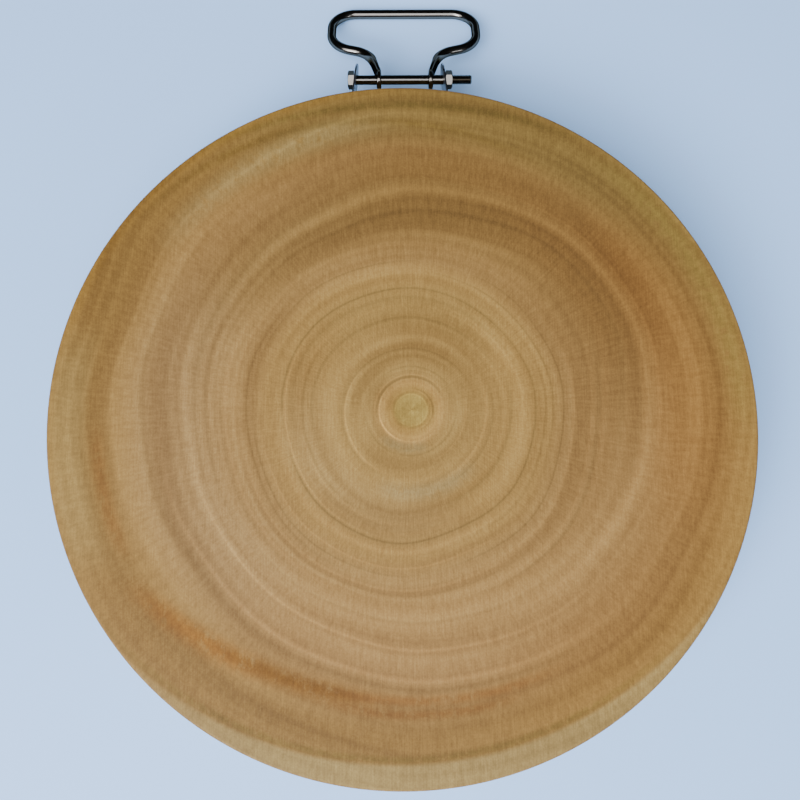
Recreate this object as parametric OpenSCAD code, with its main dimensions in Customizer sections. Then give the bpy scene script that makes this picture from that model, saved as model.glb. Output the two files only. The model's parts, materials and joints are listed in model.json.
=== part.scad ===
// Round end-grain chopping block with a clamped steel hoop and a swinging rod handle.
// Millimetres. The origin is the centre of the block's underside, +Z is up,
// and +Y points from the centre of the block to the handle.

/* [Block] */
// Diameter of the wooden block
block_d = 400; // [300:5:460]
// Thickness of the block, top face to underside
block_h = 60; // [46:1:76]
// Radius of the rounded edge round the top and the underside
block_edge_r = 2; // [0.5:0.5:5]

/* [Hoop] */
// Width of the steel strip, measured up the rim
strip_w = 20; // [16:1:30]
// Thickness of the steel strip
strip_t = 1; // [0.8:0.1:2]
// Clearance between the strip and the rim of the block
strip_fit = 0.05; // [0.02:0.01:0.3]
// Inside radius of the bend where the strip turns out into an ear
ear_bend_r = 2; // [1:0.5:4]
// Distance from the rim of the block to the axis of the bolt
bolt_out = 22.6; // [20:0.2:30]
// How much wider the hole in an ear is than the bolt
ear_hole_play = 0.6; // [0.5:0.1:1.2]

/* [Clamp bolt and nut] */
// Diameter of the bolt
bolt_d = 5.8; // [5:0.1:7]
// Length of the bolt under its head
bolt_l = 75.5; // [70:0.5:100]
// Distance between the bearing faces of the head and the nut
grip = 58.6; // [52:0.1:66]
// Width of the head and of the nut across their flats
hex_af = 10; // [9:0.5:13]
// Height of the head
head_h = 4; // [3:0.5:6]
// Thickness of the nut
nut_h = 4.5; // [3:0.5:7]
// Chamfer at the free end of the bolt
bolt_chamfer = 0.6; // [0.3:0.1:1.2]
// Clearance between the nut and the bolt
nut_fit = 0.04; // [0.02:0.01:0.1]
// Clearance between each ear and the head or nut that bears on it
seat_fit = 0.04; // [0.02:0.01:0.2]

/* [Handle] */
// Diameter of the handle's rod
rod_d = 6; // [5:0.5:7]
// Width of the handle over the outside of its loop
handle_w = 103.3; // [94:0.1:120]
// Distance from the axis of the bolt to the middle of the handle's bar
handle_reach = 71.2; // [66:0.1:90]
// Radius of the corners at the ends of the bar, to the middle of the rod
bar_corner_r = 16; // [12:0.5:18]
// Radius of the lower corners of the loop, to the middle of the rod
loop_corner_r = 17; // [13:0.5:19]
// Radius of the bends from the loop into the legs, to the middle of the rod
neck_r = 17; // [13:0.5:18]
// Slope of the short runs between the lower corners and the legs
shoulder_slope = 17.5; // [12:0.5:24]
// Splay of the legs, which stand apart towards the loop
leg_splay = 14.5; // [8:0.5:18]
// Height from the bolt at which a leg ends and its neck bend begins
neck_start = 18.1; // [16:0.1:19]
// Distance between the middles of the two eyes
eye_spacing = 33.2; // [28:0.2:38]
// Thickness of an eye
eye_t = 3; // [2.4:0.1:4]
// Outside diameter of an eye
eye_d = 12; // [11:0.5:15]
// Clearance between the bolt and the hole of an eye
eye_fit = 0.1; // [0.05:0.01:0.1]
// How far the handle stands off the middle of the bolt, along the bolt
handle_shift = 3.3; // [-4:0.1:4]

/* [Hidden] */
$fn = 96;

STEEL = [0.72, 0.74, 0.76];
WOOD = [0.70, 0.58, 0.40];

block_r = block_d / 2;
axis_y = block_r + bolt_out;
axis_z = block_h / 2;
bolt_r = bolt_d / 2;
rod_r = rod_d / 2;

// The hoop's middle stretch is a ring round the rim.
ring_in = block_r + strip_fit;
ring_out = ring_in + strip_t;

// Headings in the plane of the handle: 0 points away from the bolt, 90 points sideways.
function heading(h) = [sin(h), cos(h)];
function left_of(h) = [-cos(h), sin(h)];

// One side of the handle, from the eye outwards.
side_x = handle_w / 2 - rod_r;
shoulder_h = 90 - shoulder_slope;
foot_l = eye_d / 4;
foot_bend_r = 8;
foot_top = [eye_spacing / 2, foot_l];
foot_centre = foot_top - foot_bend_r * left_of(0);
leg_base = foot_centre + foot_bend_r * left_of(leg_splay);
leg_l = (neck_start - leg_base[1]) / cos(leg_splay);
leg_top = leg_base + leg_l * heading(leg_splay);
neck_centre = leg_top - neck_r * left_of(leg_splay);
shoulder_base = neck_centre + neck_r * left_of(shoulder_h);
shoulder_l = (side_x - loop_corner_r * (1 - cos(shoulder_h)) - shoulder_base[0])
    / sin(shoulder_h);
shoulder_top = shoulder_base + shoulder_l * heading(shoulder_h);
loop_corner = shoulder_top + loop_corner_r * left_of(shoulder_h);
bar_corner = [side_x - bar_corner_r, handle_reach - bar_corner_r];

// The handle lies on what the block stands on, so it slopes down from the bolt.
handle_slope = asin((axis_z - rod_r) / handle_reach);

// The ends of the rod are pressed flat. Half the thickness, half the width and the
// squareness of the section change from the flat to the full round.
flat_half_t = 0.467 * eye_t;
flat_half_w = 0.45 * eye_d;
flat_square = 4;
flat_to = 8;
round_from_h = 54;
section_sides = 24;

// Distances along the rod from the middle of the eye.
function bend_length(r, turn) = r * abs(turn) * PI / 180;
leg_at = foot_l + bend_length(foot_bend_r, leg_splay);
neck_at = leg_at + leg_l;
round_at = neck_at + bend_length(neck_r, round_from_h - leg_splay);
shoulder_at = neck_at + bend_length(neck_r, shoulder_h - leg_splay);
loop_corner_at = shoulder_at + shoulder_l;
side_at = loop_corner_at + bend_length(loop_corner_r, shoulder_h);
side_l = bar_corner[1] - loop_corner[1];

// Rings along the rod: the middle of each, its heading and its distance along the rod.
function straight_rings(from, h, length, start, steps) =
    [for (i = [1:steps]) let (d = length * i / steps) [from + d * heading(h), h, start + d]];
function bend_rings(centre, r, from_h, to_h, start, steps) =
    [for (i = [1:steps]) let (turn = (to_h - from_h) * i / steps)
        [centre + sign(turn) * r * left_of(from_h + turn), from_h + turn,
            start + bend_length(r, turn)]];
side_rings = concat(
    [[[eye_spacing / 2, 0], 0, 0], [foot_top, 0, foot_l]],
    bend_rings(foot_centre, foot_bend_r, 0, leg_splay, foot_l, 2),
    straight_rings(leg_base, leg_splay, leg_l, leg_at, 4),
    bend_rings(neck_centre, neck_r, leg_splay, shoulder_h, neck_at, 9),
    straight_rings(shoulder_base, shoulder_h, shoulder_l, shoulder_at, 1),
    bend_rings(loop_corner, loop_corner_r, shoulder_h, 0, loop_corner_at, 9),
    straight_rings([side_x, loop_corner[1]], 0, side_l, side_at, 1),
    bend_rings(bar_corner, bar_corner_r, 0, -90, side_at + side_l, 11)
);
function mirrored(ring) = [[-ring[0][0], ring[0][1]], -180 - ring[1], ring[2]];
side_count = len(side_rings);
rod_rings = concat(
    side_rings,
    [for (i = [1:side_count]) mirrored(side_rings[side_count - i])]
);

function ease(t) = t <= 0 ? 0 : t >= 1 ? 1 : t * t * (3 - 2 * t);
function mix(a, b, t) = a + (b - a) * t;
function squared(c, power) = sign(c) * pow(abs(c), 2 / power);

// Points of one ring: across the rod in the handle's plane, and square to that plane.
function ring_points(ring) =
    let (
        t = ease((ring[2] - flat_to) / (round_at - flat_to)),
        half_t = mix(flat_half_t, rod_r, t),
        half_w = mix(flat_half_w, rod_r, t),
        power = mix(flat_square, 2, t)
    )
    [for (i = [0:section_sides - 1]) let (a = 360 * i / section_sides)
        let (p = ring[0] + half_t * squared(cos(a), power) * left_of(ring[1]))
        [p[0], p[1], half_w * squared(sin(a), power)]];

// Triangles of a tube: its wall ring by ring, and a fan about the middle of each end.
function tube_faces(rings, sides) =
    let (last = (rings - 1) * sides, first_mid = rings * sides, last_mid = first_mid + 1)
    [
        for (r = [0:rings - 2], i = [0:sides - 1], k = [0, 1])
            let (a = r * sides + i, b = r * sides + (i + 1) % sides)
            k == 0 ? [a, b + sides, b] : [a, a + sides, b + sides],
        for (i = [0:sides - 1]) [i, (i + 1) % sides, first_mid],
        for (i = [0:sides - 1]) [last + (i + 1) % sides, last + i, last_mid]
    ];

// The bent ends of the strip are this much thinner on each face than the ring. Each has
// a root that lies half in the ring's wall, so an end joins the ring well inside it.
end_step = 0.02;
end_t = strip_t - 2 * end_step;
root_turn = 0.5;
// An end turns out of the ring by an angle whose cosine and sine are short decimals, so
// that its bend and its flat meet exactly.
bend_turn = acos(0.28);
// Distances from the origin: of the middle of the bend, and of the ear's outer face.
bend_d = ring_out + ear_bend_r;
ear_face_d = bend_d * cos(bend_turn) - ear_bend_r - end_step;
// The ears lean towards each other, so the head or nut bears on the side of the ear that
// is nearer the block. The lean brings the ear's face to that side of the head.
seat_x = grip / 2 - seat_fit;
seat_y = axis_y - hex_af / 2;
ear_lean = atan(seat_y / seat_x) - acos(ear_face_d / norm([seat_x, seat_y]));
// Direction, seen from the origin, where the bend begins.
bend_at = ear_lean + bend_turn;
// Length of an ear from the bend to the middle of its hole.
ear_l = (axis_y - (ear_face_d - end_t / 2) * sin(ear_lean)) / cos(ear_lean)
    - bend_d * sin(bend_turn);

module block() {
    color(WOOD)
    rotate_extrude()
    union() {
        square([block_r - block_edge_r, block_h]);
        translate([0, block_edge_r]) square([block_r, block_h - 2 * block_edge_r]);
        for (z = [block_edge_r, block_h - block_edge_r])
            translate([block_r - block_edge_r, z]) circle(r = block_edge_r);
    }
}

// An arc of an end of the strip, from the +X axis on.
module end_arc(r, turn) {
    rotate_extrude(angle = turn)
        translate([r + end_step, 0]) square([end_t, strip_w]);
}

// The leaning ear, from the bend on.
module ear() {
    difference() {
        union() {
            cube([end_t, ear_l, strip_w]);
            translate([0, ear_l, strip_w / 2])
                rotate([0, 90, 0]) cylinder(d = strip_w, h = end_t);
        }
        translate([-strip_t, ear_l, strip_w / 2])
            rotate([0, 90, 0]) cylinder(d = bolt_d + ear_hole_play, h = 3 * strip_t);
    }
}

// The +X end of the strip: its root in the ring's wall, the bend outwards and the ear.
module strip_end() {
    rotate(bend_at) {
        mirror([0, 1, 0]) end_arc(ring_in, root_turn);
        translate([bend_d, 0, 0]) {
            mirror([1, 0, 0]) end_arc(ear_bend_r, bend_turn);
            rotate(-bend_turn)
                translate([-ear_bend_r - strip_t + end_step, 0, 0]) ear();
        }
    }
}

module hoop() {
    beyond = 1.5 * ring_out;
    gap_x = beyond / tan(bend_at - root_turn / 2);
    color(STEEL)
    translate([0, 0, axis_z - strip_w / 2])
        union() {
            difference() {
                rotate_extrude($fn = 180)
                    translate([ring_in, 0]) square([strip_t, strip_w]);
                translate([0, 0, -1])
                    linear_extrude(height = strip_w + 2)
                        polygon([[0, 0], [gap_x, beyond], [-gap_x, beyond]]);
            }
            strip_end();
            mirror([1, 0, 0]) strip_end();
        }
}

// A hexagon along +X with its corners chamfered at the far face, and at the near face
// too if both is true.
module hexagon(af, h, both) {
    face_r = 0.475 * af;
    beyond_r = af / 2 / cos(30) + 0.2;
    rise = (beyond_r - face_r) * tan(30);
    near_face = both ? [[face_r, 0], [beyond_r, rise]] : [[beyond_r, 0]];
    rotate([0, 90, 0])
        intersection() {
            cylinder(r = af / 2 / cos(30), h = h, $fn = 6);
            rotate_extrude()
                polygon(concat([[0, 0]], near_face,
                    [[beyond_r, h - rise], [face_r, h], [0, h]]));
        }
}

module clamp_bolt() {
    color(STEEL)
    translate([-grip / 2, axis_y, axis_z])
        union() {
            mirror([1, 0, 0]) hexagon(hex_af, head_h, false);
            rotate([0, 90, 0]) cylinder(r = bolt_r, h = bolt_l - bolt_chamfer);
            translate([bolt_l - bolt_chamfer, 0, 0])
                rotate([0, 90, 0])
                    cylinder(r1 = bolt_r, r2 = bolt_r - bolt_chamfer, h = bolt_chamfer);
        }
}

module clamp_nut() {
    color(STEEL)
    translate([grip / 2, axis_y, axis_z])
        difference() {
            hexagon(hex_af, nut_h, true);
            translate([-1, 0, 0])
                rotate([0, 90, 0]) cylinder(r = bolt_r + nut_fit, h = nut_h + 2);
        }
}

// The rod in the XY plane, with the bolt's axis along X.
module bent_rod() {
    end_mids = [for (ring = [rod_rings[0], rod_rings[2 * side_count - 1]])
        [ring[0][0], ring[0][1], 0]];
    polyhedron(
        points = concat([for (ring = rod_rings) each ring_points(ring)], end_mids),
        faces = tube_faces(2 * side_count, section_sides)
    );
}

module handle() {
    color(STEEL)
    translate([handle_shift, axis_y, axis_z])
        rotate([-handle_slope, 0, 0])
            difference() {
                union() {
                    bent_rod();
                    for (x = [-eye_spacing / 2, eye_spacing / 2])
                        translate([x, 0, 0])
                            rotate([0, 90, 0])
                                cylinder(d = eye_d, h = eye_t, center = true);
                }
                rotate([0, 90, 0])
                    cylinder(r = bolt_r + eye_fit, h = eye_spacing + 4 * eye_t,
                        center = true);
            }
}

block();
hoop();
clamp_bolt();
clamp_nut();
handle();
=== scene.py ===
# %% [markdown]
# A round chopping block: one slice of a tree trunk, a steel hoop clamped round its rim
# by a long bolt, and a bent-rod handle that swings on that bolt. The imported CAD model
# gives every place and size. This notebook gives each piece the finer shape and the
# finish that the eye expects, and each new piece stands for the CAD node it replaces.

# %% Load the frame
import json
import math

import bmesh
import bpy
from mathutils import Matrix, Vector


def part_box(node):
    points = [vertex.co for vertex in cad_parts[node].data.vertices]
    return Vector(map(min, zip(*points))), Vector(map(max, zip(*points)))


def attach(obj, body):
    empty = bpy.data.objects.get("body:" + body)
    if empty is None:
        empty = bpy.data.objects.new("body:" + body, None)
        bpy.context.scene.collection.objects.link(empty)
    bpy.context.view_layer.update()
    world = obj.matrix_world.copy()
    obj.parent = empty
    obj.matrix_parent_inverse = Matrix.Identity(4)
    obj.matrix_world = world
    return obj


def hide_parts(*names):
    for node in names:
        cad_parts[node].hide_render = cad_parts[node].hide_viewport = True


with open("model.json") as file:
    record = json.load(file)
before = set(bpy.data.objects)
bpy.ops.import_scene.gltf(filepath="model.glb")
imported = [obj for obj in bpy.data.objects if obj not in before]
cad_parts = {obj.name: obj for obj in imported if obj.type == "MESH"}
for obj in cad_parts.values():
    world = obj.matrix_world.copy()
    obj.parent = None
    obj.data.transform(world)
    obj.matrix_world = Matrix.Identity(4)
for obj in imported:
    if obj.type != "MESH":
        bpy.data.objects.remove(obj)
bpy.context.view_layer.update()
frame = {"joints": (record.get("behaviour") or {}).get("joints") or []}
MM = 0.001

# %% [markdown]
# The camera comes first, because it settles what has to look right. The photograph was
# taken from above, a little on the near side of the block, and leans back a few degrees.
# A camera is placed by three directions: right, up, and backwards, away from its subject.
# The lens and the film are in mm.

# %% Camera
EYE = Vector((-6.0, -80.9, 529.9)) * MM
AHEAD = Vector((0.00859, 0.18405, -0.98288)).normalized()
RIGHT = Vector((0.99994, -0.00873, 0.00710)).normalized()
UP = RIGHT.cross(AHEAD)
LENS = 38.2
FILM_W = 36.0

camera_data = bpy.data.cameras.new("camera")
camera_data.lens = LENS
camera_data.sensor_width = FILM_W
camera = bpy.data.objects.new("camera", camera_data)
camera.matrix_world = Matrix((
    (RIGHT.x, UP.x, -AHEAD.x, EYE.x),
    (RIGHT.y, UP.y, -AHEAD.y, EYE.y),
    (RIGHT.z, UP.z, -AHEAD.z, EYE.z),
    (0, 0, 0, 1),
))
bpy.context.scene.collection.objects.link(camera)
bpy.context.scene.camera = camera
print("camera height %.0f mm" % (EYE.z / MM))

# %% [markdown]
# Every material below is a small net of nodes. One function adds a node with its
# settings and links, so a net reads as a list of what goes into what. Colours are
# written as the hex values a paint program shows, and one function turns them linear.

# %% Helpers for materials


def colour(hex_value):
    channels = [int(hex_value[i:i + 2], 16) / 255 for i in (1, 3, 5)]
    linear = [c / 12.92 if c <= 0.04045 else ((c + 0.055) / 1.055) ** 2.4 for c in channels]
    return (*linear, 1.0)


def add_node(tree, kind, links=None, values=None, **settings):
    node = tree.nodes.new(kind)
    for name, value in settings.items():
        setattr(node, name, value)
    for socket, value in (values or {}).items():
        node.inputs[socket].default_value = value
    for socket, source in (links or {}).items():
        tree.links.new(source, node.inputs[socket])
    return node


def new_material(name):
    material = bpy.data.materials.new(name)
    material.use_nodes = True
    tree = material.node_tree
    tree.nodes.clear()
    shader = add_node(tree, "ShaderNodeBsdfPrincipled")
    add_node(tree, "ShaderNodeOutputMaterial", {"Surface": shader.outputs["BSDF"]})
    return material, tree, shader


def maths(tree, operation, first, second=None):
    values, links = {}, {}
    for i, term in enumerate([first] if second is None else [first, second]):
        (links if hasattr(term, "is_linked") else values)[i] = term
    return add_node(tree, "ShaderNodeMath", links, values, operation=operation).outputs[0]


def vector_maths(tree, operation, first, second=None, scale=None):
    links, values = {0: first}, {}
    if scale is not None:
        (links if hasattr(scale, "is_linked") else values)["Scale"] = scale
    if second is not None:
        (links if hasattr(second, "is_linked") else values)[1] = second
    node = add_node(tree, "ShaderNodeVectorMath", links, values, operation=operation)
    return node.outputs["Value" if operation in ("LENGTH", "DOT_PRODUCT") else "Vector"]


def smooth_step(tree, value, start, end):
    node = add_node(tree, "ShaderNodeMapRange", {"Value": value},
                    {"From Min": start, "From Max": end}, interpolation_type="SMOOTHSTEP")
    return node.outputs["Result"]


def rescale(tree, value, from_low, from_high, to_low, to_high):
    node = add_node(tree, "ShaderNodeMapRange", {"Value": value},
                    {"From Min": from_low, "From Max": from_high,
                     "To Min": to_low, "To Max": to_high})
    return node.outputs["Result"]


def mapped(tree, place, scale, rotation=(0, 0, 0), location=(0, 0, 0)):
    return add_node(tree, "ShaderNodeMapping", {"Vector": place},
                    {"Location": location, "Rotation": rotation, "Scale": scale}).outputs[0]


def noise(tree, place, detail=0.0, roughness=0.5, scale=1.0):
    return add_node(tree, "ShaderNodeTexNoise", {"Vector": place},
                    {"Scale": scale, "Detail": detail, "Roughness": roughness}).outputs


def mix_colours(tree, factor, first, second, blend="MIX"):
    node = add_node(tree, "ShaderNodeMix", data_type="RGBA", blend_type=blend)
    for socket, term in ((0, factor), (6, first), (7, second)):
        if hasattr(term, "is_linked"):
            tree.links.new(term, node.inputs[socket])
        else:
            node.inputs[socket].default_value = term
    return node.outputs[2]


def shade_by(tree, tone, pattern, low, high, strength):
    """Lightens and darkens a tone by a pattern, which is read between two of its values."""
    return mix_colours(tree, strength, tone, smooth_step(tree, pattern, low, high), "SOFT_LIGHT")


def add_bump(tree, shader, height, strength, depth):
    bump = add_node(tree, "ShaderNodeBump", {"Height": height},
                    {"Strength": strength, "Distance": depth})
    tree.links.new(bump.outputs[0], shader.inputs["Normal"])


def set_ramp(ramp, stops):
    elements = ramp.color_ramp.elements
    while len(elements) > 1:
        elements.remove(elements[-1])
    elements[0].position, elements[0].color = stops[0]
    for position, value in stops[1:]:
        elements.new(position).color = value


# %% [markdown]
# End grain shows every growth ring as a circle round the pith, the soft centre of the
# trunk. The pith isn't in the middle of the slice and the rings aren't true circles, so
# the pattern starts from the distance to the pith, bent by a slow drift and a slow noise.
# Rings that stand out are put in by their radius in millimetres, and finer ones come
# from noises that are read along the radius and change slowly round it. Patches are
# bands of another tone along part of an arc: most are stains in the wood, three dark ones
# are painted shade that darkens the far side of the top towards the right, and one pale
# one is a painted sheen on the left.

# %% Material: end grain of a pale, close-grained hardwood
block_low, block_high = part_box("block")
BLOCK_R = (block_high.x - block_low.x) / 2
PITH = Vector((4.3, 1.4)) * MM
LAST_RING = 210.0
INNER_DRIFT = (-1.2, -1.1)
OUTER_DRIFT = (10.0, 7.0)
RIM_STRENGTH = 0.8
PORE_STRENGTH = 0.14
RAY_STRENGTH = 0.10
PLANE_STRENGTH = 0.10
FLECK_STRENGTH = 0.22
NARROW_PATCH = 7

# Rings in mm: radius, half width, and how much lighter or darker than its neighbours.
# A group shows all round or fades out away from one direction, in degrees round the pith
# from the +X axis, over the given half angle.
RING_GROUPS = [
    (0, 180, [(4.5, 0.8, -0.08), (9.0, 0.6, 0.24), (10.2, 0.8, -0.38), (15.6, 0.8, 0.10),
              (23.8, 0.7, 0.14), (25.4, 0.7, -0.18), (61.5, 1.5, 0.12), (71.4, 1.0, -0.36),
              (88.5, 0.8, -0.26)]),
    (110, 110, [(12.6, 0.8, -0.14), (19.2, 0.8, -0.58), (20.6, 0.6, 0.24), (32.5, 0.8, -0.10),
                (36.7, 0.8, -0.28), (54.6, 0.9, -0.30), (66.0, 0.9, -0.18), (99.0, 2.0, 0.10),
                (114.8, 2.2, -0.05), (130.0, 4.0, -0.12)]),
    (195, 65, [(18.0, 0.7, 0.52), (36.2, 0.8, 0.40), (38.0, 0.9, -0.20), (60.0, 1.2, -0.14),
               (69.8, 0.8, 0.30), (92.0, 1.0, -0.20), (106.0, 1.6, 0.14), (110.0, 1.5, -0.10),
               (122.0, 1.2, -0.14), (160.0, 4.0, -0.08)]),
    (250, 72, [(18.3, 0.7, 0.46), (66.8, 0.8, 0.16), (76.0, 2.5, 0.16), (84.6, 0.8, 0.26),
               (96.5, 1.2, 0.20), (100.0, 1.2, -0.10), (118.0, 2.0, -0.10), (135.2, 1.5, 0.24),
               (151.5, 1.8, 0.24), (156.5, 2.6, -0.16)]),
    (335, 55, [(12.5, 0.7, -0.32), (31.0, 0.6, 0.24), (43.0, 1.0, 0.32), (46.6, 0.9, -0.20),
               (57.0, 1.5, -0.22), (77.5, 1.0, -0.16), (94.6, 1.2, 0.16), (104.0, 1.2, 0.14),
               (107.0, 1.2, -0.22), (124.0, 2.0, 0.10)]),
    (30, 60, [(12.3, 0.6, -0.28), (50.5, 0.7, -0.14), (64.0, 1.0, 0.10), (82.0, 0.9, -0.22),
              (95.0, 1.2, 0.10), (103.0, 2.0, -0.09), (109.0, 1.2, 0.12), (114.5, 1.5, -0.13),
              (121.0, 1.5, -0.12), (132.0, 1.4, 0.13)]),
]

# Patches of stain, painted shade and painted sheen: direction and half angle in degrees,
# radius and half width in mm, how soft the two edges are in mm, strength, colour, and
# the centre of its arc from the block's axis in mm.
STAIN_SHADE_AND_SHEEN_PATCHES = [
    # Painted shade: these two darken the far side of the top, towards the right, where less light
    # falls.
    (57, 72, 135, 28, 22, 0.60, "#6f4b1d", (4, 4)),
    (108, 64, 124, 20, 20, 0.44, "#735527", (4, 4)),
    (45, 60, 172, 20, 14, 0.38, "#6f5322", (4, 4)),
    (12, 42, 156, 18, 14, 0.40, "#8b5924", (4, 4)),
    # Painted sheen: a pale grey band of glancing light on the left of the top.
    (190, 55, 132, 24, 18, 0.16, "#917850", (4, 4)),
    (330, 54, 168, 24, 18, 0.42, "#875c26", (4, 4)),
    (76, 60, 182, 16, 9, 0.42, "#6b5729", (1, 0)),
    (96, 48, 266, 1.8, 2.2, 0.42, "#5b491a", (-1, -78)),
    (104, 46, 183.7, 1.8, 2.4, 0.48, "#604617", (-17, -6)),
    (120, 30, 172, 5, 8, 0.28, "#988250", (4, 4)),
    (132, 50, 199, 4, 4, 0.38, "#875d1a", (0, 0)),
    (238, 30, 242, 4.5, 4.5, 0.76, "#774a12", (16, 85)),
    (226, 16, 243, 5.5, 5, 0.34, "#844f14", (16, 85)),
    (246, 16, 241, 2.5, 2.5, 0.50, "#69420c", (16, 85)),
    (276, 26, 183, 2.0, 2.4, 0.55, "#7d4b17", (6, 28)),
    (272, 22, 166, 2.0, 2.4, 0.62, "#704314", (5, 4)),
    (195, 14, 176, 2.5, 4, 0.38, "#85511a", (4, 4)),
    (186, 24, 188, 9, 5, 0.30, "#a38549", (0, 0)),
    (286, 58, 205, 7, 7, 0.34, "#76531f", (-3, 31)),
    (268, 62, 215.2, 1.6, 1.8, 0.55, "#644d19", (-3, 31)),
    (276, 66, 230, 12.2, 1.4, 0.55, "#9c824b", (-3, 31)),
    (24, 34, 191, 6, 6, 0.28, "#85702d", (0, 0)),
    (282, 42, 47, 3.6, 4, 0.24, "#9c8c5e", (4, 2)),
    (258, 42, 22.3, 2.6, 2, 0.28, "#9c8b5c", (4, 2)),
    (230, 80, 60, 10, 12, 0.22, "#a38350", (4, 1)),
    (88, 62, 62, 12, 12, 0.24, "#7c6230", (4, 1)),
    # Painted shade: a broad dark band across the far side of the top.
    (88, 74, 108, 10, 14, 0.26, "#6c4f22", (4, 4)),
]


def growth_field(tree):
    """Place in mm from the pith, its flat part, the bent radius and the outward direction."""
    place = add_node(tree, "ShaderNodeTexCoord").outputs["Object"]
    millimetres = mapped(tree, place, (1 / MM,) * 3, location=(-PITH.x / MM, -PITH.y / MM, 0))
    flat = vector_maths(tree, "MULTIPLY", millimetres, (1, 1, 0))
    plain_radius = vector_maths(tree, "LENGTH", flat)
    outward = vector_maths(tree, "NORMALIZE", flat)

    # The rings' middle drifts off the pith in two steps, one near it and one far out.
    inner = smooth_step(tree, plain_radius, 18, 40)
    outer = smooth_step(tree, plain_radius, 95, 130)
    shares = add_node(tree, "ShaderNodeCombineXYZ", {0: inner, 1: outer}).outputs[0]
    drift_x = vector_maths(tree, "DOT_PRODUCT", shares, (INNER_DRIFT[0], OUTER_DRIFT[0], 0))
    drift_y = vector_maths(tree, "DOT_PRODUCT", shares, (INNER_DRIFT[1], OUTER_DRIFT[1], 0))
    drift = add_node(tree, "ShaderNodeCombineXYZ", {0: drift_x, 1: drift_y}).outputs[0]

    wave = noise(tree, vector_maths(tree, "SCALE", flat, scale=1 / 70))["Color"]
    wave_size = maths(tree, "MULTIPLY", smooth_step(tree, plain_radius, 2, 90), 10.0)
    centred_wave = vector_maths(tree, "SUBTRACT", wave, (0.5, 0.5, 0.5))
    wave_mm = vector_maths(tree, "SCALE", centred_wave, scale=wave_size)
    bent = vector_maths(tree, "ADD", vector_maths(tree, "SUBTRACT", flat, drift), wave_mm)
    radius = vector_maths(tree, "LENGTH", vector_maths(tree, "MULTIPLY", bent, (1, 1, 0)))
    return millimetres, flat, radius, outward


def toward(tree, outward, middle_deg, half_deg):
    """1 in the middle direction, falling smoothly to 0 at the half angle."""
    middle = math.radians(middle_deg)
    along = vector_maths(tree, "DOT_PRODUCT", outward, (math.cos(middle), math.sin(middle), 0))
    edge, full = math.radians(half_deg), math.radians(half_deg * 0.3)
    return smooth_step(tree, along, math.cos(edge), math.cos(full))


def ring_noise(tree, radius, outward, spacing, around):
    """Noise that changes over a spacing in mm along the radius and slowly round the pith."""
    along = vector_maths(tree, "SCALE", outward, scale=around)
    rings_out = maths(tree, "DIVIDE", radius, spacing)
    out = add_node(tree, "ShaderNodeCombineXYZ", {"Z": rings_out}).outputs[0]
    return noise(tree, vector_maths(tree, "ADD", along, out), 1.0, 0.4)["Fac"]


def ring_lines(tree, scaled_radius, rings):
    """A tone along the radius: middle grey, with a lighter or darker peak at each ring."""
    stops = [(0.0, (0.5, 0.5, 0.5, 1))]
    for ring_radius, half_width, strength in rings:
        level = 0.5 + 0.5 * strength
        for offset, value in ((-half_width, 0.5), (0, level), (half_width, 0.5)):
            stops.append(((ring_radius + offset) / LAST_RING, (value, value, value, 1)))
    ramp = add_node(tree, "ShaderNodeValToRGB", {"Fac": scaled_radius})
    set_ramp(ramp, stops)
    return ramp.outputs["Color"]


def patch_mask(tree, flat, outward, middle_deg, half_deg, arc_radius, half_width, soft, centre):
    """1 on a band along part of an arc, falling smoothly to 0 past its edges."""
    from_pith = (centre[0] - PITH.x / MM, centre[1] - PITH.y / MM, 0)
    from_centre = vector_maths(tree, "SUBTRACT", flat, from_pith)
    past_arc = maths(tree, "SUBTRACT", vector_maths(tree, "LENGTH", from_centre), arc_radius)
    off_arc = maths(tree, "ABSOLUTE", past_arc)
    band = smooth_step(tree, off_arc, half_width + soft, max(half_width - soft, 0))
    return maths(tree, "MULTIPLY", band, toward(tree, outward, middle_deg, half_deg))


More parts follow.
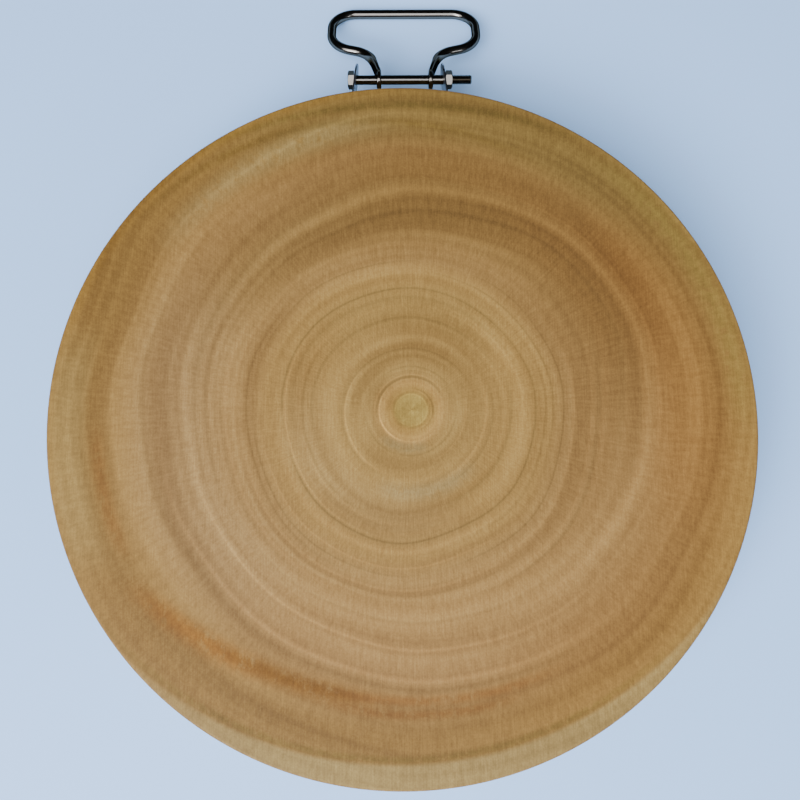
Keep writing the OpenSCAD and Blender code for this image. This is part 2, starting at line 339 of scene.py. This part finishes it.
def end_grain():
    material, tree, shader = new_material("end_grain_hardwood")
    millimetres, flat, radius, outward = growth_field(tree)
    scaled_radius = maths(tree, "DIVIDE", radius, LAST_RING)

    base = add_node(tree, "ShaderNodeValToRGB", {"Fac": scaled_radius})
    set_ramp(base, [(place / LAST_RING, colour(value)) for place, value in (
        (0, "#977837"), (8.8, "#967736"), (10.5, "#9a7435"), (16.5, "#a1793c"), (19, "#9a743a"),
        (23, "#937038"), (45, "#906c35"), (60, "#926d35"), (80, "#916c35"), (90, "#916c38"),
        (110, "#8f6936"), (150, "#8c6635"), (185, "#86622d"), (192, "#825f2b"), (200, "#7e5b28"),
    )])
    wood = base.outputs["Color"]

    # Narrow patches are broken up by a speckle, so they don't look drawn with compasses.
    speckle = mapped(tree, millimetres, (0.22, 0.16, 0.03), rotation=(0, 0, 0.6))
    broken = smooth_step(tree, noise(tree, speckle, 4.0, 0.7)["Fac"], 0.27, 0.52)
    # Each patch is laid over the wood: most are stains, three paint shade on the far side of the
    # top, and one paints a sheen on the left.
    for middle, half, arc_radius, half_width, soft, strength, tint, centre in STAIN_SHADE_AND_SHEEN_PATCHES:
        mask = patch_mask(tree, flat, outward, middle, half, arc_radius, half_width, soft, centre)
        if half_width < NARROW_PATCH:
            mask = maths(tree, "MULTIPLY", mask, broken)
        wood = mix_colours(tree, maths(tree, "MULTIPLY", mask, strength), wood, colour(tint))

    for spacing, around, strength in ((22.0, 0.7, 0.20), (7.5, 0.5, 0.16), (3.2, 0.4, 0.08)):
        fine_rings = ring_noise(tree, radius, outward, spacing, around)
        wood = shade_by(tree, wood, fine_rings, 0.25, 0.75, strength)

    fading = smooth_step(tree, ring_noise(tree, radius, outward, 35.0, 1.2), 0.3, 0.55)
    for middle, half, rings in RING_GROUPS:
        strength = fading if half == 180 else toward(tree, outward, middle, half)
        wood = mix_colours(tree, strength, wood, ring_lines(tree, scaled_radius, rings), "OVERLAY")

    # The rim was turned smooth under the bark, where the wood is warmer, with long streaks.
    on_face = vector_maths(tree, "ADD", flat, (PITH.x / MM, PITH.y / MM, 0))
    from_axis = vector_maths(tree, "LENGTH", on_face)
    rim = smooth_step(tree, from_axis, BLOCK_R / MM - 1.6, BLOCK_R / MM - 0.3)
    long_streaks = mapped(tree, millimetres, (0.16, 0.16, 0.008), rotation=(0, 0, 0.5))
    streak = smooth_step(tree, noise(tree, long_streaks, 3.0, 0.6)["Fac"], 0.3, 0.7)
    rim_wood = mix_colours(tree, streak, colour("#825d2e"), colour("#9c7846"))
    wood = mix_colours(tree, maths(tree, "MULTIPLY", rim, RIM_STRENGTH), wood, rim_wood)

    # The fibres stand upright, so they show as pores on the top and as streaks on the rim.
    fibres = mapped(tree, millimetres, (1.1, 1.1, 0.025), rotation=(0, 0, 0.5))
    pores = noise(tree, fibres, 2.0, 0.6)["Fac"]
    wood = shade_by(tree, wood, pores, 0.25, 0.75, PORE_STRENGTH)

    # Rays run from the pith outwards and show as fine lines across the rings.
    across = vector_maths(tree, "SCALE", outward, scale=80.0)
    rays_out = maths(tree, "DIVIDE", radius, 9.0)
    along = add_node(tree, "ShaderNodeCombineXYZ", {"Z": rays_out}).outputs[0]
    rays = noise(tree, vector_maths(tree, "ADD", across, along), 1.0, 0.6)["Fac"]
    wood = shade_by(tree, wood, rays, 0.25, 0.75, RAY_STRENGTH)

    # The top was planed along Y, which leaves faint lines that way and short dark flecks.
    planed = mapped(tree, millimetres, (1.3, 0.07, 0.2))
    wood = shade_by(tree, wood, noise(tree, planed, 1.0, 0.5)["Fac"], 0.3, 0.7, PLANE_STRENGTH)
    dragged = mapped(tree, millimetres, (1.1, 0.4, 0.05))
    flecks = smooth_step(tree, noise(tree, dragged, 1.0, 0.5)["Fac"], 0.66, 0.80)
    fleck_share = maths(tree, "MULTIPLY", flecks, FLECK_STRENGTH)
    wood = mix_colours(tree, fleck_share, wood, colour("#6f511b"))

    tree.links.new(wood, shader.inputs["Base Color"])
    rough = rescale(tree, pores, 0.2, 0.8, 0.66, 0.54)
    tree.links.new(rough, shader.inputs["Roughness"])
    shader.inputs["Specular IOR Level"].default_value = 0.16
    add_bump(tree, shader, pores, 0.15, 0.12 * MM)
    return material


END_GRAIN = end_grain()
print("wood nodes", len(END_GRAIN.node_tree.nodes))

# %% [markdown]
# The handle, bolt and nut are stainless steel, drawn and polished bright. Polished metal
# has little colour of its own: what the eye reads is the dark room and the pale skylight
# mirrored in it, softened a little by fine scratches. The metal is a warm mid grey, and a
# darker tint where it is seen edge on keeps its outline clear against the pale table. The
# strip is rolled and left duller, with faint lines along it.

# %% Materials: polished and rolled stainless steel
EDGE_TINT = "#4a4a4a"
SCRATCH_DEPTH = 0.02 * MM


def polished_steel(name, tint, roughness):
    material, tree, shader = new_material(name)
    shader.inputs["Base Color"].default_value = colour(tint)
    shader.inputs["Specular Tint"].default_value = colour(EDGE_TINT)
    shader.inputs["Metallic"].default_value = 1.0
    place = add_node(tree, "ShaderNodeTexCoord").outputs["Object"]
    wear = noise(tree, place, 4.0, 0.7, scale=1 / (4 * MM))["Fac"]
    rough = rescale(tree, wear, 0.3, 0.7, roughness * 0.75, roughness * 1.3)
    tree.links.new(rough, shader.inputs["Roughness"])
    scratches = noise(tree, place, 2.0, scale=1 / (0.5 * MM))["Fac"]
    add_bump(tree, shader, scratches, 0.08, SCRATCH_DEPTH)
    return material


def rolled_steel():
    material, tree, shader = new_material("rolled_stainless_strip")
    shader.inputs["Metallic"].default_value = 1.0
    place = add_node(tree, "ShaderNodeTexCoord").outputs["Object"]
    brushed = noise(tree, mapped(tree, place, (8, 8, 2500)), 3.0, 0.6)["Fac"]
    tone = mix_colours(tree, brushed, colour("#8d8f92"), colour("#a8aaad"))
    tree.links.new(tone, shader.inputs["Base Color"])
    rough = rescale(tree, brushed, 0.3, 0.7, 0.24, 0.38)
    tree.links.new(rough, shader.inputs["Roughness"])
    add_bump(tree, shader, brushed, 0.12, SCRATCH_DEPTH)
    return material


ROD_STEEL = polished_steel("polished_stainless_rod", "#7b7368", 0.16)
FASTENER_STEEL = polished_steel("bright_stainless_fasteners", "#787166", 0.15)
STRIP_STEEL = rolled_steel()

# %% [markdown]
# The pieces are modelled as by hand: a primitive is added, shaped in edit mode, and
# finished with modifiers. Each operator acts on all that is selected, so these helpers
# select one object, or the vertices that pass a test, and nothing else.

# %% Helpers for modelling
# Points closer than TOUCH count as one, and FIT is the gap between pieces that meet.
TOUCH = 0.01 * MM
FIT = 0.04 * MM


def select_only(piece):
    bpy.ops.object.select_all(action="DESELECT")
    piece.select_set(True)
    bpy.context.view_layer.objects.active = piece


def edit(piece):
    select_only(piece)
    bpy.ops.object.mode_set(mode="EDIT")


def leave_edit():
    bpy.ops.object.mode_set(mode="OBJECT")


def settle(piece):
    """Puts an object's turn and place into its mesh, so the object sits at the origin."""
    select_only(piece)
    bpy.ops.object.transform_apply(location=True, rotation=True, scale=True)


def select_where(piece, test):
    bpy.ops.mesh.select_all(action="DESELECT")
    mesh = bmesh.from_edit_mesh(piece.data)
    for vertex in mesh.verts:
        vertex.select = bool(test(vertex.co))
    mesh.select_flush(True)
    bmesh.update_edit_mesh(piece.data)


def spin(centre, turn, steps):
    """Spins what is selected about Z, counterclockwise where the turn is positive."""
    bpy.ops.mesh.spin(steps=steps, angle=-turn, center=centre, axis=(0, 0, 1))


def run(direction, length, steps=1):
    """Draws out what is selected in a straight line, in equal steps."""
    step = direction * (length / steps)
    for _ in range(steps):
        bpy.ops.mesh.extrude_region_move(TRANSFORM_OT_translate={"value": step})


def apply_modifier(piece, kind, **settings):
    select_only(piece)
    modifier = piece.modifiers.new(kind.lower(), kind)
    for name, value in settings.items():
        setattr(modifier, name, value)
    bpy.ops.object.modifier_apply(modifier=modifier.name)


def cut_with(piece, tool, operation="DIFFERENCE"):
    apply_modifier(piece, "BOOLEAN", object=tool, operation=operation, solver="EXACT")
    bpy.data.objects.remove(tool)


def finish_piece(piece, name, material, body, node, smooth_deg=35):
    piece.name = name
    settle(piece)
    edit(piece)
    bpy.ops.mesh.select_all(action="SELECT")
    bpy.ops.mesh.remove_doubles(threshold=TOUCH / 10)
    bpy.ops.mesh.normals_make_consistent(inside=False)
    leave_edit()
    bpy.ops.object.shade_smooth_by_angle(angle=math.radians(smooth_deg))
    piece.data.materials.clear()
    piece.data.materials.append(material)
    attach(piece, body)
    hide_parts(node)
    print(name, len(piece.data.vertices), "vertices")


# %% [markdown]
# The block is turned from one slice, so it is a cylinder whose two rims are rounded a
# little, as sandpaper leaves them. Insets give its flat faces rings of their own, which
# keeps the triangles short.

# %% The block
BLOCK_H = block_high.z - block_low.z
RIM_ROUND = 2.0 * MM
FACE_RINGS = 4


def make_block():
    bpy.ops.object.select_all(action="DESELECT")
    bpy.ops.mesh.primitive_cylinder_add(vertices=256, radius=BLOCK_R, depth=BLOCK_H,
                                        location=(0, 0, block_low.z + BLOCK_H / 2))
    piece = bpy.context.active_object
    settle(piece)
    apply_modifier(piece, "BEVEL", width=RIM_ROUND, segments=5, limit_method="ANGLE",
                   angle_limit=math.radians(40))
    for face_z in (block_low.z, block_high.z):
        edit(piece)
        bpy.ops.mesh.select_mode(type="FACE")
        bpy.ops.mesh.select_all(action="DESELECT")
        mesh = bmesh.from_edit_mesh(piece.data)
        for face in mesh.faces:
            at_height = abs(face.calc_center_median().z - face_z) < MM
            face.select = at_height and abs(face.normal.z) > 0.99
        bmesh.update_edit_mesh(piece.data)
        for _ in range(FACE_RINGS):
            bpy.ops.mesh.inset(thickness=BLOCK_R / (FACE_RINGS + 1))
        bpy.ops.mesh.poke()
        bpy.ops.mesh.select_mode(type="VERT")
        leave_edit()
    finish_piece(piece, "end_grain_block", END_GRAIN, "block_and_hoop", "block")


make_block()

# %% [markdown]
# The hoop is one flat strip bent round the rim, with its two ends bent outwards as ears
# for the bolt. It is made as the smith makes it: a strip is run round the rim, its ends
# are bent with a spin about the bend's centre, the ears are drawn out, and only then does
# the strip get its thickness.

# %% The hoop
hoop_low, hoop_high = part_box("hoop")
STRIP_T = 1.0 * MM
STRIP_W = hoop_high.z - hoop_low.z
EAR_BEND_R = 2.0 * MM
EAR_HOLE_D = 6.4 * MM
STRIP_EDGE_ROUND = 0.2 * MM
HEAD_HALF = 5.0 * MM
BEND_TURN = math.acos(0.28)
RING_MID = hoop_high.x - STRIP_T / 2
axis_x, axis_y, axis_z = frame["joints"][0]["pos_m"]
nut_low, nut_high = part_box("clamp_nut")
HEX_AF = nut_high.y - nut_low.y
print("ring radius %.1f mm, bolt axis at y %.1f mm" % (RING_MID / MM, axis_y / MM))

# The ear leans so that its outer face meets the side of the head nearest the block.
seat = Vector((nut_low.x - FIT, axis_y - HEAD_HALF))
bend_d = hoop_high.x + EAR_BEND_R
ear_face_d = bend_d * math.cos(BEND_TURN) - EAR_BEND_R
EAR_LEAN = math.atan2(seat.y, seat.x) - math.acos(ear_face_d / seat.length)
BEND_AT = EAR_LEAN + BEND_TURN
BEND_CENTRE = Vector((bend_d * math.cos(BEND_AT), bend_d * math.sin(BEND_AT), 0))
EAR_L = ((axis_y - (ear_face_d - STRIP_T / 2) * math.sin(EAR_LEAN)) / math.cos(EAR_LEAN)
         - bend_d * math.sin(BEND_TURN))
EAR_AHEAD = Vector((-math.sin(EAR_LEAN), math.cos(EAR_LEAN), 0))
STRIP_ROWS = 20
RING_STEPS = 240
BEND_STEPS = 10
EAR_STEPS = 6


def make_hoop():
    bpy.ops.object.select_all(action="DESELECT")
    bpy.ops.mesh.primitive_plane_add(size=1)
    piece = bpy.context.active_object
    # The plane's mesh gives way to one upright line of points, at the back of the ring. The
    # rows lie closer at the edges, which divides the ear's half circle evenly.
    mesh = bmesh.new()
    rises = [STRIP_W / 2 * (1 - math.cos(math.pi * i / STRIP_ROWS))
             for i in range(STRIP_ROWS + 1)]
    column = [mesh.verts.new((0, -RING_MID, hoop_low.z + rise)) for rise in rises]
    for lower, upper in zip(column, column[1:]):
        mesh.edges.new((lower, upper))
    mesh.to_mesh(piece.data)
    mesh.free()
    # The line is spun round to the bend, which makes half the ring.
    edit(piece)
    bpy.ops.mesh.select_all(action="SELECT")
    spin((0, 0, 0), math.pi / 2 + BEND_AT, RING_STEPS // 2)
    spin(BEND_CENTRE, -BEND_TURN, BEND_STEPS)
    run(EAR_AHEAD, EAR_L, EAR_STEPS)
    # The end of the ear is rounded: each row of the last edge moves out to a half circle.
    run(EAR_AHEAD, TOUCH)
    mesh = bmesh.from_edit_mesh(piece.data)
    for vertex in mesh.verts:
        if vertex.select:
            off_middle = vertex.co.z - axis_z
            vertex.co += EAR_AHEAD * math.sqrt(max(0, (STRIP_W / 2) ** 2 - off_middle ** 2))
    bmesh.update_edit_mesh(piece.data)
    leave_edit()
    apply_modifier(piece, "MIRROR", use_axis=(True, False, False), merge_threshold=TOUCH)
    edit(piece)
    bpy.ops.mesh.select_all(action="SELECT")
    bpy.ops.mesh.remove_doubles(threshold=2 * TOUCH)
    bpy.ops.mesh.normals_make_consistent(inside=False)
    leave_edit()
    apply_modifier(piece, "SOLIDIFY", thickness=STRIP_T, offset=0, use_even_offset=True)
    bpy.ops.mesh.primitive_cylinder_add(vertices=64, radius=EAR_HOLE_D / 2, depth=100 * MM,
                                        location=(0, axis_y, axis_z), rotation=(0, math.pi / 2, 0))
    cut_with(piece, bpy.context.active_object)
    apply_modifier(piece, "BEVEL", width=STRIP_EDGE_ROUND, segments=2, limit_method="ANGLE",
                   angle_limit=math.radians(50))
    finish_piece(piece, "steel_hoop", STRIP_STEEL, "block_and_hoop", "hoop")


make_hoop()
print("ears lean %.1f degrees" % math.degrees(EAR_LEAN))

# %% [markdown]
# A bolt head and a nut start as a hexagon bar. A lathe then turns off the corners at 30
# degrees, which leaves the curved edges that every bolt head shows. Here the hexagon is
# kept where it meets a turned blank.

# %% Hexagons
bolt_low, bolt_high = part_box("clamp_bolt")
BOLT_R = 2.9 * MM
HEAD_H = 4.0 * MM
HEAD_FACE_X = bolt_low.x + HEAD_H
NUT_H = nut_high.x - nut_low.x
TURNED_FACE_R = 0.475 * HEX_AF
TURNING_ANGLE = math.radians(30)
BLANK_SPARE = 0.2 * MM


def hexagon(start_x, height, far_side, both_sides):
    """A hexagon along X from start_x, growing to the far side (+1 or -1) of it."""
    corner_r = HEX_AF / 2 / math.cos(math.radians(30))
    blank_r = corner_r + BLANK_SPARE
    rise = (blank_r - TURNED_FACE_R) * math.tan(TURNING_ANGLE)
    middle = start_x + far_side * height / 2
    bpy.ops.object.select_all(action="DESELECT")
    bpy.ops.mesh.primitive_cylinder_add(vertices=6, radius=corner_r, depth=height)
    piece = bpy.context.active_object
    corner_up = Matrix.Rotation(math.pi / 2, 4, "Y") @ Matrix.Rotation(math.pi / 6, 4, "Z")
    piece.matrix_world = Matrix.Translation((middle, axis_y, axis_z)) @ corner_up
    settle(piece)
    bpy.ops.object.select_all(action="DESELECT")
    near_cut = rise if both_sides else 0
    blank_l = height - rise - near_cut
    blank_middle = start_x + far_side * (near_cut + blank_l / 2)
    bpy.ops.mesh.primitive_cylinder_add(vertices=96, radius=blank_r, depth=blank_l,
                                        location=(blank_middle, axis_y, axis_z),
                                        rotation=(0, math.pi / 2, 0))
    blank = bpy.context.active_object
    settle(blank)
    ends = [(start_x + far_side * (height - rise), far_side)]
    if both_sides:
        ends.append((start_x + far_side * rise, -far_side))
    for end_x, side in ends:
        edit(blank)
        select_where(blank, lambda co: abs(co.x - end_x) < TOUCH)
        run(Vector((side, 0, 0)), rise)
        narrowing = TURNED_FACE_R / blank_r
        bpy.ops.transform.resize(value=(1, narrowing, narrowing),
                                 center_override=(0, axis_y, axis_z))
        leave_edit()
    cut_with(piece, blank, "INTERSECT")
    return piece


# %% [markdown]
# The shank is drawn out of the head ring by ring. Its last 18 mm carry an M6 thread with
# a pitch of 1 mm: rings stand eight to a turn, and each vertex is then pushed in by the
# thread's depth at its own place on the helix, as a die cuts it.

# %% The clamp bolt
THREAD_L = 18.0 * MM
THREAD_PITCH = 1.0 * MM
THREAD_DEPTH = 0.5 * MM
TIP_CHAMFER = 0.6 * MM
RINGS_A_TURN = 8
SHANK_SIDES = 48
SHANK_IN_HEAD = 0.5 * MM
FASTENER_SMOOTH_DEG = 28


def thread_cut(x, turn):
    """How deep the thread is cut at a place along the bolt and a turn round it, 0 to 1."""
    phase = (x / THREAD_PITCH - turn / (2 * math.pi)) % 1.0
    flank = 1 - abs(2 * phase - 1)
    # The flank is cut off at both ends, which leaves a flat crest and a flat root.
    return min(1.0, max(0.0, 1.25 * flank - 0.12))


def make_bolt():
    head = hexagon(HEAD_FACE_X, HEAD_H, -1, False)
    shank_start = HEAD_FACE_X - SHANK_IN_HEAD
    thread_start = bolt_high.x - THREAD_L
    bpy.ops.object.select_all(action="DESELECT")
    bpy.ops.mesh.primitive_circle_add(vertices=SHANK_SIDES, radius=BOLT_R, fill_type="NGON",
                                      location=(shank_start, axis_y, axis_z),
                                      rotation=(0, math.pi / 2, 0))
    shank = bpy.context.active_object
    settle(shank)
    edit(shank)
    bpy.ops.mesh.select_all(action="SELECT")
    run(Vector((1, 0, 0)), thread_start - shank_start)
    run(Vector((1, 0, 0)), THREAD_L, round(THREAD_L / THREAD_PITCH * RINGS_A_TURN))
    mesh = bmesh.from_edit_mesh(shank.data)
    for vertex in mesh.verts:
        along = vertex.co.x - thread_start
        if along < TOUCH:
            continue
        arm = Vector((vertex.co.y - axis_y, vertex.co.z - axis_z))
        turn = math.atan2(arm.y, arm.x)
        run_in = min(1.0, along / THREAD_PITCH)
        radius = BOLT_R - THREAD_DEPTH * run_in * thread_cut(vertex.co.x, turn)
        left = bolt_high.x - vertex.co.x
        radius = min(radius, BOLT_R - TIP_CHAMFER + left)
        vertex.co.y = axis_y + arm.x / arm.length * radius
        vertex.co.z = axis_z + arm.y / arm.length * radius
    bmesh.update_edit_mesh(shank.data)
    leave_edit()
    bpy.ops.object.select_all(action="DESELECT")
    shank.select_set(True)
    head.select_set(True)
    bpy.context.view_layer.objects.active = head
    bpy.ops.object.join()
    finish_piece(head, "hexagon_bolt", FASTENER_STEEL, "block_and_hoop", "clamp_bolt",
                 smooth_deg=FASTENER_SMOOTH_DEG)


make_bolt()

# %% [markdown]
# The nut is the same hexagon with its corners turned off on both faces, and its bore
# clears the bolt by the common fit, because the thread inside it is never seen.

# %% The clamp nut


def make_nut():
    piece = hexagon(nut_low.x, NUT_H, 1, True)
    bpy.ops.mesh.primitive_cylinder_add(vertices=64, radius=BOLT_R + FIT, depth=4 * NUT_H,
                                        location=(nut_low.x, axis_y, axis_z),
                                        rotation=(0, math.pi / 2, 0))
    cut_with(piece, bpy.context.active_object)
    finish_piece(piece, "hexagon_nut", FASTENER_STEEL, "block_and_hoop", "clamp_nut",
                 smooth_deg=FASTENER_SMOOTH_DEG)


make_nut()

# %% [markdown]
# The handle is one steel rod, bent round in a loop, with both ends pressed flat and
# drilled as eyes. It is made lying flat with the bolt's axis through the origin: half of
# it is drawn from the middle of the bar by extruding straight runs and spinning the
# bends, the end is pressed, and a mirror makes the other half.

# %% The handle
handle_low, handle_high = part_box("handle")
ROD_R = 3.0 * MM
HANDLE_W = handle_high.x - handle_low.x
REACH = 71.2 * MM
BAR_CORNER_R = 16.0 * MM
LOOP_CORNER_R = 17.0 * MM
NECK_R = 17.0 * MM
SHOULDER_SLOPE = math.radians(17.5)
LEG_SPLAY = math.radians(14.5)
NECK_START = 18.1 * MM
FOOT_BEND_R = 8.0 * MM
EYE_SPACING = 33.2 * MM
EYE_T = 3.0 * MM
EYE_R = 6.0 * MM
EYE_HOLE_R = 3.0 * MM
EYE_STEPS = 12
EYE_END_TURN = 0.97 * math.pi / 2
PRESSED_HALF_T = 0.467 * EYE_T
PRESSED_HALF_W = 0.9 * EYE_R
FOOT_L = 3.0 * MM
FLAT_TO = 8.0 * MM
ROUND_FROM = math.radians(54)
ROD_SIDES = 40
SLOPE = math.asin((axis_z - ROD_R) / REACH)


def heading(turn):
    return Vector((math.sin(turn), math.cos(turn), 0))


def left_of(turn):
    return Vector((-math.cos(turn), math.sin(turn), 0))


# Places on the +X half, from the eye to the bar. Turn 0 points away from the bolt.
side_x = HANDLE_W / 2 - ROD_R
shoulder_turn = math.pi / 2 - SHOULDER_SLOPE
foot_centre = Vector((EYE_SPACING / 2, FOOT_L, 0)) - FOOT_BEND_R * left_of(0)
leg_base = foot_centre + FOOT_BEND_R * left_of(LEG_SPLAY)
leg_l = (NECK_START - leg_base.y) / math.cos(LEG_SPLAY)
leg_top = leg_base + leg_l * heading(LEG_SPLAY)
neck_centre = leg_top - NECK_R * left_of(LEG_SPLAY)
shoulder_base = neck_centre + NECK_R * left_of(shoulder_turn)
shoulder_l = ((side_x - LOOP_CORNER_R * (1 - math.cos(shoulder_turn)) - shoulder_base.x)
              / math.sin(shoulder_turn))
shoulder_top = shoulder_base + shoulder_l * heading(shoulder_turn)
loop_centre = shoulder_top + LOOP_CORNER_R * left_of(shoulder_turn)
bar_centre = Vector((side_x - BAR_CORNER_R, REACH - BAR_CORNER_R, 0))
LEG_AT = FOOT_L + FOOT_BEND_R * LEG_SPLAY
ROUND_AT = LEG_AT + leg_l + NECK_R * (ROUND_FROM - LEG_SPLAY)


def squared(value, power):
    """Bends a sine or cosine so that a circle, power 2, becomes a rounded square, power 4."""
    return math.copysign(abs(value) ** (2 / power), value)


def pressed_section(distance):
    """Half thickness, half width and squareness of the rod at a distance from the eye."""
    share = min(1.0, max(0.0, (distance - FLAT_TO) / (ROUND_AT - FLAT_TO)))
    rounded = share * share * (3 - 2 * share)
    half_t = PRESSED_HALF_T * (1 - rounded) + ROD_R * rounded
    half_w = PRESSED_HALF_W * (1 - rounded) + ROD_R * rounded
    if distance < EYE_R:
        round_eye = math.sqrt(max(0.0, EYE_R ** 2 - distance ** 2))
        half_w = round_eye if distance < 0 else max(half_w, round_eye)
        half_t = EYE_T / 2 if distance < 0.5 * EYE_R else half_t
    return half_t, half_w, 4 - 2 * rounded


def make_handle():
    bpy.ops.object.select_all(action="DESELECT")
    bpy.ops.mesh.primitive_circle_add(vertices=ROD_SIDES, radius=ROD_R, fill_type="NOTHING",
                                      location=(0, REACH, 0), rotation=(0, math.pi / 2, 0))
    piece = bpy.context.active_object
    settle(piece)
    edit(piece)
    bpy.ops.mesh.select_all(action="SELECT")
    run(Vector((1, 0, 0)), side_x - BAR_CORNER_R, 2)
    spin(bar_centre, -math.pi / 2, 18)
    run(Vector((0, -1, 0)), bar_centre.y - loop_centre.y)
    spin(loop_centre, -shoulder_turn, 16)
    run(-heading(shoulder_turn), shoulder_l, 2)
    spin(neck_centre, shoulder_turn - LEG_SPLAY, 16)
    run(-heading(LEG_SPLAY), leg_l, 12)
    spin(foot_centre, LEG_SPLAY, 4)
    run(Vector((0, -1, 0)), FOOT_L, 4)
    drops = [EYE_R * math.sin(EYE_END_TURN * i / EYE_STEPS) for i in range(EYE_STEPS + 1)]
    for drop, next_drop in zip(drops, drops[1:]):
        run(Vector((0, -1, 0)), next_drop - drop)
    leave_edit()

    # The rings were made in order, so the mesh is read ring by ring, from the eye's end.
    vertices = piece.data.vertices
    ring_count = len(vertices) // ROD_SIDES
    rings = [[vertices[r * ROD_SIDES + i] for i in range(ROD_SIDES)] for r in range(ring_count)]
    centres = [sum((v.co for v in ring), Vector()) / ROD_SIDES for ring in rings]
    distance = centres[-1].y
    for r in range(ring_count - 1, -1, -1):
        if r < ring_count - 1:
            distance += (centres[r] - centres[r + 1]).length
        if distance > ROUND_AT:
            break
        before, after = centres[max(r - 1, 0)], centres[min(r + 1, ring_count - 1)]
        ahead = (before - after).normalized()
        across = Vector((-ahead.y, ahead.x, 0))
        half_t, half_w, power = pressed_section(distance)
        for vertex in rings[r]:
            arm = vertex.co - centres[r]
            cos_a = arm.dot(across) / arm.length
            sin_a = arm.z / arm.length
            vertex.co = (centres[r] + across * half_t * squared(cos_a, power)
                         + Vector((0, 0, half_w * squared(sin_a, power))))
    # The last ring, at the eye's end, is closed with a face.
    edit(piece)
    select_where(piece, lambda co: co.y < -EYE_R * 0.99)
    bpy.ops.mesh.edge_face_add()
    leave_edit()
    apply_modifier(piece, "MIRROR", use_axis=(True, False, False), merge_threshold=TOUCH)
    edit(piece)
    bpy.ops.mesh.select_all(action="SELECT")
    bpy.ops.mesh.normals_make_consistent(inside=False)
    leave_edit()
    bpy.ops.mesh.primitive_cylinder_add(vertices=64, radius=EYE_HOLE_R, depth=60 * MM,
                                        location=(0, 0, 0), rotation=(0, math.pi / 2, 0))
    cut_with(piece, bpy.context.active_object)

    # It hangs on the bolt and its bar lies on the table, so it slopes down.
    piece.rotation_euler = (-SLOPE, 0, 0)
    piece.location = (axis_x, axis_y, axis_z)
    finish_piece(piece, "rod_handle", ROD_STEEL, "handle", "handle", smooth_deg=40)
    return piece


handle = make_handle()
low = [min(v.co[i] for v in handle.data.vertices) / MM for i in range(3)]
high = [max(v.co[i] for v in handle.data.vertices) / MM for i in range(3)]
print("handle from", [round(v, 2) for v in low], "to", [round(v, 2) for v in high])
print("CAD handle from", [round(v / MM, 2) for v in handle_low],
      "to", [round(v / MM, 2) for v in handle_high])

# %% [markdown]
# The block lies on a pale table with a soft shine. A window on the left, a weaker one on
# the right, a large skylight on the near side and broad daylight fall on it, and a pale
# fill stands for the light that walls give back. What steel mirrors is a room of its own,
# dark on the far side and grey on the near side, which draws the dark and bright lines
# along it. The camera itself sees a pale wall in every direction.

# %% Table and light
TABLE_W = 120.0
DAYLIGHT_SPREAD = math.radians(45)
NEAR_AND_UP = (0.0, -0.8, 0.6)


def make_table():
    material, tree, shader = new_material("glossy_table_laminate")
    place = add_node(tree, "ShaderNodeTexCoord").outputs["Object"]
    cloud = noise(tree, place, 2.0, scale=5.0)["Fac"]
    tone = mix_colours(tree, cloud, colour("#b1d6ff"), colour("#b6daff"))
    tree.links.new(tone, shader.inputs["Base Color"])
    shader.inputs["Roughness"].default_value = 0.5
    shader.inputs["Specular IOR Level"].default_value = 0.25
    bpy.ops.object.select_all(action="DESELECT")
    bpy.ops.mesh.primitive_plane_add(size=TABLE_W, location=(0, 0, 0))
    table = bpy.context.active_object
    table.name = "table"
    table.data.materials.append(material)


def add_light(name, kind, place, energy, tint):
    """A light at a place in metres, which points at the block."""
    data = bpy.data.lights.new(name, kind)
    data.energy = energy
    data.color = colour(tint)[:3]
    light = bpy.data.objects.new(name, data)
    light.location = place
    light.rotation_euler = (-Vector(place)).to_track_quat("-Z", "Y").to_euler()
    bpy.context.scene.collection.objects.link(light)
    return data


def add_round_light(name, place, width, watts, tint):
    data = add_light(name, "AREA", place, watts, tint)
    data.shape = "DISK"
    data.size = width


def background(tree, tone, strength):
    return add_node(tree, "ShaderNodeBackground", {},
                    {"Color": colour(tone), "Strength": strength}).outputs[0]


def make_world():
    world = bpy.data.worlds.new("room")
    world.use_nodes = True
    tree = world.node_tree
    tree.nodes.clear()
    direction = add_node(tree, "ShaderNodeTexCoord").outputs["Generated"]
    nearness = vector_maths(tree, "DOT_PRODUCT", direction, NEAR_AND_UP)
    room = add_node(tree, "ShaderNodeValToRGB", {"Fac": nearness})
    set_ramp(room, [
        (0.0, colour("#1b1d20")), (0.5, colour("#24272b")), (0.75, colour("#55585c")),
        (1.0, colour("#7a7c80")),
    ])
    mirrored = add_node(tree, "ShaderNodeBackground", {"Color": room.outputs["Color"]})
    seen = background(tree, "#c4daf4", 1.3)
    fill = background(tree, "#cedae8", 0.65)
    ray = add_node(tree, "ShaderNodeLightPath").outputs
    pale = add_node(tree, "ShaderNodeMixShader", {0: ray["Is Camera Ray"], 1: fill, 2: seen})
    both = add_node(tree, "ShaderNodeMixShader",
                    {0: ray["Is Glossy Ray"], 1: pale.outputs[0], 2: mirrored.outputs[0]})
    add_node(tree, "ShaderNodeOutputWorld", {"Surface": both.outputs[0]})
    bpy.context.scene.world = world


make_table()
make_world()
add_round_light("window", (-0.8, -0.9, 1.0), 0.7, 20, "#dbe8ff")
add_round_light("far window", (0.9, -0.9, 0.8), 0.5, 3.5, "#dbe8ff")
add_round_light("skylight", (-0.3, -1.0, 1.9), 2.0, 45, "#e2ecff")
add_light("daylight", "SUN", (-0.8, -0.9, 1.25), 2.0, "#ecf2ff").angle = DAYLIGHT_SPREAD
